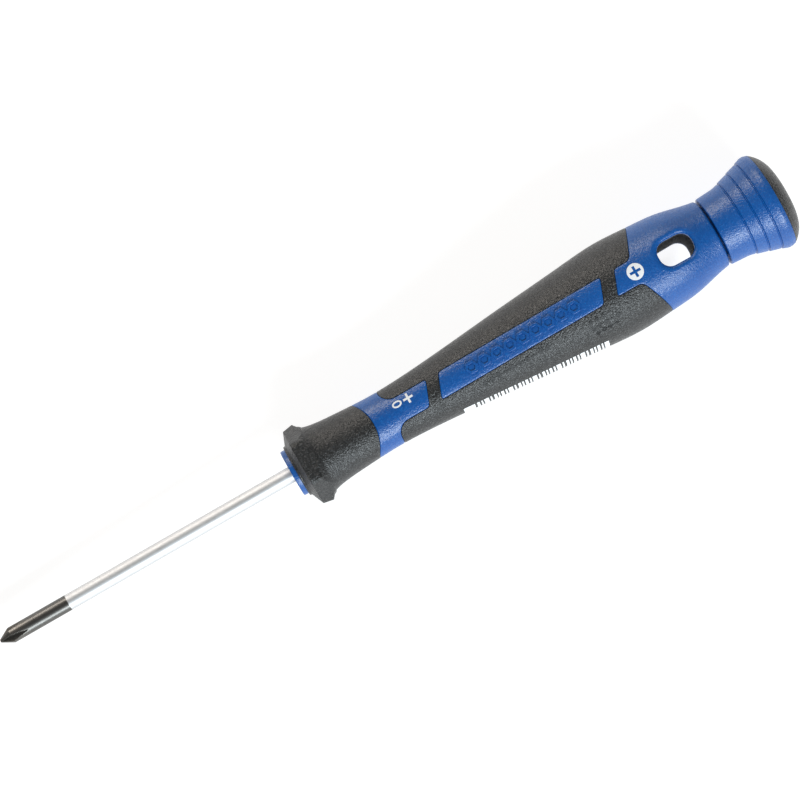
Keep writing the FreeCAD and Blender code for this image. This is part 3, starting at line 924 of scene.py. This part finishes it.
def build_moulded_marks():
    """Fine raised marks on the black sleeve, one long row and one short block of rows: hollow
    diamonds and dashes in a repeating order."""
    loops = []
    for first, last, across, tall in MARK_ROWS:
        position = first - MARKS_MIDDLE + tall
        index = 0
        while position < last - MARKS_MIDDLE:
            if index % 4 == 3:
                low, high = across - DASH_HALF, across + DASH_HALF
                loops.append(box_loop(position - tall, position + tall, low, high))
            else:
                loops.append(diamond_loop(tall, position, across))
                loops.append(diamond_loop(tall - MARK_STROKE, position, across))
            position += 2 * tall + MARK_GAP
            index += 1
    return wrap_marks(
        "moulded_marks", loops, MARKS_MIDDLE, 0, thickness=0.1, lift=-0.01, bevel=0.02, pitch=0.5)


# ---------------------------------------------------------------- materials
def new_material(name):
    material = bpy.data.materials.new(name)
    material.use_nodes = True
    shader = material.node_tree.nodes["Principled BSDF"]
    return material, material.node_tree, shader


def node(tree, kind, **settings):
    item = tree.nodes.new(kind)
    for key, value in settings.items():
        if key.startswith("in_"):
            item.inputs[key[3:].replace("_", " ")].default_value = value
        else:
            setattr(item, key, value)
    return item


def object_noise(tree, scale, detail=3.0, rough=0.55, stretch=(1, 1, 1)):
    """Noise fixed to the piece, in the frame's metres."""
    place = tree.nodes.new("ShaderNodeTexCoord")
    mapping = tree.nodes.new("ShaderNodeMapping")
    mapping.inputs["Scale"].default_value = stretch
    noise = node(tree, "ShaderNodeTexNoise", in_Scale=scale, in_Detail=detail, in_Roughness=rough)
    tree.links.new(place.outputs["Object"], mapping.inputs["Vector"])
    tree.links.new(mapping.outputs["Vector"], noise.inputs["Vector"])
    return noise


def map_range(tree, source, low, high, new_low, new_high):
    item = tree.nodes.new("ShaderNodeMapRange")
    item.inputs["From Min"].default_value = low
    item.inputs["From Max"].default_value = high
    item.inputs["To Min"].default_value = new_low
    item.inputs["To Max"].default_value = new_high
    tree.links.new(source, item.inputs["Value"])
    return item.outputs["Result"]


def mix_colour(tree, factor, first, second):
    item = tree.nodes.new("ShaderNodeMix")
    item.data_type = "RGBA"
    tree.links.new(factor, item.inputs["Factor"])
    for socket, value in (("A", first), ("B", second)):
        target = [entry for entry in item.inputs if entry.name == socket and entry.type == "RGBA"][0]
        if isinstance(value, tuple):
            target.default_value = value
        else:
            tree.links.new(value, target)
    return [entry for entry in item.outputs if entry.type == "RGBA"][0]


def add_bumps(tree, shader, layers):
    """Chains bump nodes: each layer is (height socket, strength, distance in metres)."""
    previous = None
    for height, strength, distance in layers:
        bump = node(tree, "ShaderNodeBump", in_Strength=strength, in_Distance=distance)
        tree.links.new(height, bump.inputs["Height"])
        if previous is not None:
            tree.links.new(previous, bump.inputs["Normal"])
        previous = bump.outputs["Normal"]
    tree.links.new(previous, shader.inputs["Normal"])


def moulded_plastic(name, dark, light, sheen_fleck, gloss, grain, grain_depth, specular):
    """Moulded plastic or rubber: clouds in the colour, and spark-eroded grain whose tops are mixed towards a
    lighter colour, a painted sheen that breaks the highlights into specks. Grain is the number of specks per
    metre."""
    material, tree, shader = new_material(name)
    clouds = object_noise(tree, 90, 4, 0.6)
    speck = object_noise(tree, grain, 1.5, 0.6)
    cells = object_noise(tree, grain * 0.55, 2, 0.6)
    tint = map_range(tree, clouds.outputs["Fac"], 0.3, 0.7, 0.0, 1.0)
    cloudy = mix_colour(tree, tint, dark, light)
    # painted sheen: the tops of the speck grain, which is also the bump, are mixed towards the lighter third
    # colour
    sheen_crest = map_range(tree, speck.outputs["Fac"], 0.5, 0.72, 0.0, 1.0)
    tree.links.new(mix_colour(tree, sheen_crest, cloudy, sheen_fleck), shader.inputs["Base Color"])
    rough = map_range(tree, cells.outputs["Fac"], 0.3, 0.7, gloss[0], gloss[1])
    tree.links.new(rough, shader.inputs["Roughness"])
    shader.inputs["Specular IOR Level"].default_value = specular
    add_bumps(tree, shader, [
        (cells.outputs["Fac"], 0.8, grain_depth),
        (speck.outputs["Fac"], 0.8, grain_depth),
    ])
    return material


def blend(tree, factor, first, second):
    """Number between a socket's value and a fixed second value."""
    item = tree.nodes.new("ShaderNodeMix")
    item.data_type = "FLOAT"
    tree.links.new(factor, item.inputs["Factor"])
    sockets = [entry for entry in item.inputs if entry.type == "VALUE" and entry.name in ("A", "B")]
    tree.links.new(first, sockets[0])
    sockets[1].default_value = second
    return [entry for entry in item.outputs if entry.type == "VALUE"][0]


def blade_steel():
    """Matt chrome, burnished black towards the point, with fine marks from turning."""
    material, tree, shader = new_material("matt_chrome")
    shader.inputs["Metallic"].default_value = 1.0
    place = tree.nodes.new("ShaderNodeTexCoord")
    split = tree.nodes.new("ShaderNodeSeparateXYZ")
    tree.links.new(place.outputs["Object"], split.inputs["Vector"])
    edge = TIP_X + BLACK_LENGTH * MM
    black = map_range(tree, split.outputs["X"], edge - 0.00004, edge + 0.00004, 1.0, 0.0)
    ground = map_range(tree, split.outputs["X"], TIP_X + 4.6 * MM, TIP_X + 6.2 * MM, 1.0, 0.0)
    rings = object_noise(tree, 900, 2, 0.5, (14, 1, 1))
    patina = object_noise(tree, 700, 4, 0.65)
    chrome = mix_colour(tree, patina.outputs["Fac"], (0.66, 0.665, 0.67, 1), (0.71, 0.71, 0.715, 1))
    brown = mix_colour(tree, patina.outputs["Fac"], (0.105, 0.10, 0.093, 1), (0.175, 0.17, 0.163, 1))
    bright = mix_colour(tree, patina.outputs["Fac"], (0.11, 0.102, 0.092, 1), (0.22, 0.21, 0.195, 1))
    dark = mix_colour(tree, ground, brown, bright)
    tree.links.new(mix_colour(tree, black, chrome, dark), shader.inputs["Base Color"])
    matt = map_range(tree, patina.outputs["Fac"], 0.3, 0.7, 0.55, 0.62)
    tree.links.new(blend(tree, black, matt, 0.40), shader.inputs["Roughness"])
    add_bumps(tree, shader, [(rings.outputs["Fac"], 0.1, 0.000006), (patina.outputs["Fac"], 0.08, 0.000006)])
    return material


def plain_metal(name, colour, rough):
    material, tree, shader = new_material(name)
    shader.inputs["Metallic"].default_value = 1.0
    grain = object_noise(tree, 1500, 3, 0.6)
    tint = mix_colour(tree, grain.outputs["Fac"], colour, tuple(c * 0.8 for c in colour[:3]) + (1,))
    tree.links.new(tint, shader.inputs["Base Color"])
    finish = map_range(tree, grain.outputs["Fac"], 0.3, 0.7, rough, rough + 0.12)
    tree.links.new(finish, shader.inputs["Roughness"])
    return material


# the third colour of each material is the painted sheen on the grain's tops
BLUE_PLASTIC = moulded_plastic(
    "blue_plastic", (0.0002, 0.074, 0.308, 1), (0.0005, 0.084, 0.338, 1), (0.002, 0.118, 0.42, 1),
    (0.26, 0.44), 3700, 0.00008, 0.64)
BLACK_RUBBER = moulded_plastic(
    "black_rubber", (0.0115, 0.012, 0.0125, 1), (0.017, 0.017, 0.017, 1), (0.062, 0.062, 0.061, 1),
    (0.28, 0.44), 3600, 0.00018, 0.52)
# painted shade: the slot's walls below the rims get this dark grey in place of the blue, for the shade
# inside the slot
SLOT_PAINTED_SHADE = moulded_plastic(
    "slot_painted_shade", (0.024, 0.025, 0.028, 1), (0.032, 0.033, 0.036, 1), (0.040, 0.040, 0.042, 1),
    (0.7, 0.8), 3400, 0.00004, 0.15)
WHITE_INK = moulded_plastic(
    "white_ink", (0.84, 0.85, 0.86, 1), (0.90, 0.90, 0.90, 1), (0.88, 0.88, 0.88, 1),
    (0.45, 0.55), 6000, 0.000004, 0.45)
SMOOTH_BLACK = moulded_plastic(
    "smooth_black_rubber", (0.007, 0.007, 0.008, 1), (0.011, 0.011, 0.011, 1), (0.012, 0.012, 0.012, 1),
    (0.42, 0.5), 5000, 0.000006, 0.3)
# painted shade: the washer deep in the gap between handle and cap is a darkened copy of the blue, so the gap
# reads as a dark line
GAP_SHADE_BLUE = moulded_plastic(
    "bearing_plastic", (0.0004, 0.022, 0.105, 1), (0.0006, 0.028, 0.125, 1), (0.0006, 0.028, 0.125, 1),
    (0.5, 0.6), 5000, 0.000004, 0.2)
SPRING = plain_metal("spring_steel", (0.45, 0.45, 0.47, 1), 0.3)
CHROME = blade_steel()

# ---------------------------------------------------------------- pieces
surface, kinds = whole_handle()
distance = seam_distance(surface, kinds)
core, slot_shade_faces = build_core(soften(surface, distance, BLUE_ROUND), sink(surface, SLEEVE_WALL + 0.05), kinds)
dress(core, BLUE_PLASTIC, "handle", "blue_plastic", "handle_core")
# painted shade: the faces down the slot's walls take the dark grey material
core.data.materials.append(SLOT_PAINTED_SHADE)
for index in slot_shade_faces:
    core.data.polygons[index].material_index = 1
dress(build_main_sleeve(soften(surface, distance, BLACK_ROUND), sink(surface, SLEEVE_WALL), kinds),
      BLACK_RUBBER, "handle", "black_grip", "grip_main")
dress(build_front_sleeve(), BLACK_RUBBER, "handle", "black_grip", "grip_front")
dress(build_blade(), CHROME, "handle", "blade_steel", "blade")
dress(build_cap(), BLUE_PLASTIC, "cap", "blue_plastic", "swivel_cap")
dress(build_inlay(), BLACK_RUBBER, "cap", "black_grip", "cap_inlay")
dress(build_symbol(), WHITE_INK, "handle", "white_mark", "symbol_disc")
dress(build_size_mark(), WHITE_INK, "handle", "white_mark")
dress(build_bar_strip(), WHITE_INK, "handle", "white_mark")
dress(build_panel_relief(), BLUE_PLASTIC, "handle", "blue_plastic")
dress(build_moulded_marks(), SMOOTH_BLACK, "handle", "black_grip")

# the washer gets the darkened blue of painted shade
for name, material in (("slide_washer", GAP_SHADE_BLUE), ("retaining_ring", SPRING)):
    cad_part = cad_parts[name]
    cad_part.data.materials.clear()
    cad_part.data.materials.append(material)


# ---------------------------------------------------------------- floor, light and camera
def build_floor():
    """Pale table under the belly and the flange's lower flat, on which the tool rests."""
    belly = (127.0, 8.97)
    flange = (63.5, FLAT_APOTHEM)
    slope = math.atan2(belly[1] - flange[1], belly[0] - flange[0])
    mesh = bpy.data.meshes.new("floor")
    size = 3.0
    corners = [(-size, -size, 0), (size, -size, 0), (size, size, 0), (-size, size, 0)]
    mesh.from_pydata(corners, [], [(0, 1, 2, 3)])
    floor = bpy.data.objects.new("floor", mesh)
    bpy.context.scene.collection.objects.link(floor)
    floor.location = (TIP_X + belly[0] * MM, 0, AXIS_Z - belly[1] * MM)
    floor.rotation_euler = (0, slope, 0)
    material, tree, shader = new_material("table")
    paper = object_noise(tree, 60, 3, 0.5)
    tint = mix_colour(tree, paper.outputs["Fac"], (0.33, 0.33, 0.33, 1), (0.35, 0.35, 0.35, 1))
    tree.links.new(tint, shader.inputs["Base Color"])
    shader.inputs["Roughness"].default_value = 0.9
    shader.inputs["Emission Color"].default_value = (1, 1, 1, 1)
    shader.inputs["Emission Strength"].default_value = 0.82
    mesh.materials.append(material)


def build_lights():
    """Two long soft boxes beside the tool, warm above and cool below, in a bright room."""
    world = bpy.data.worlds.new("studio")
    world.use_nodes = True
    background = world.node_tree.nodes["Background"]
    background.inputs["Color"].default_value = (1, 1, 1, 1)
    background.inputs["Strength"].default_value = 0.17
    bpy.context.scene.world = world
    for name, side, colour, power in (
            ("upper_box", 1, (1.0, 0.94, 0.87), 3.4), ("lower_box", -1, (0.86, 0.95, 1.0), 6.8)):
        light = bpy.data.lights.new(name, "AREA")
        light.shape = "RECTANGLE"
        light.size = 0.6
        light.size_y = 0.2
        light.energy = power
        light.color = colour
        lamp = bpy.data.objects.new(name, light)
        bpy.context.scene.collection.objects.link(lamp)
        tilt = math.radians(58) * side
        reach = 0.75
        lamp.location = (0, reach * math.sin(tilt), reach * math.cos(tilt))
        lamp.rotation_euler = (-tilt, 0, 0)


CAMERA_DISTANCE = 0.600
CAMERA_FOCAL = 4.175            # focal length over image width
SENSOR = 36.0
SCREEN_ANGLE = math.radians(29.86)
ROLL = math.radians(5.6)
TILT = math.radians(1.0)
AIM_STATION = 83.6
AIM_ASIDE = 1.88


def build_camera():
    """Long-lens camera above the tool, turned so that the tool climbs to the right."""
    along = Vector((1, 0, 0))
    away = Vector((0, math.sin(ROLL), -math.cos(ROLL)))
    down = away.cross(along)
    screen_t = along * math.cos(TILT) - away * math.sin(TILT)
    depth = along * math.sin(TILT) + away * math.cos(TILT)
    right = screen_t * math.cos(SCREEN_ANGLE) + down * math.sin(SCREEN_ANGLE)
    up = screen_t * math.sin(SCREEN_ANGLE) - down * math.cos(SCREEN_ANGLE)
    aim = Vector(to_frame([AIM_STATION, 0, 0])) - down * (AIM_ASIDE * MM)
    camera = bpy.data.cameras.new("camera")
    camera.sensor_width = SENSOR
    camera.lens = SENSOR * CAMERA_FOCAL
    camera.clip_end = 20
    item = bpy.data.objects.new("camera", camera)
    bpy.context.scene.collection.objects.link(item)
    turn = Matrix((right, up, -depth)).transposed().to_4x4()
    item.matrix_world = Matrix.Translation(aim - depth * CAMERA_DISTANCE) @ turn
    bpy.context.scene.camera = item


build_floor()
build_lights()
build_camera()
bpy.context.scene.view_settings.view_transform = "Standard"

bpy.context.view_layer.update()
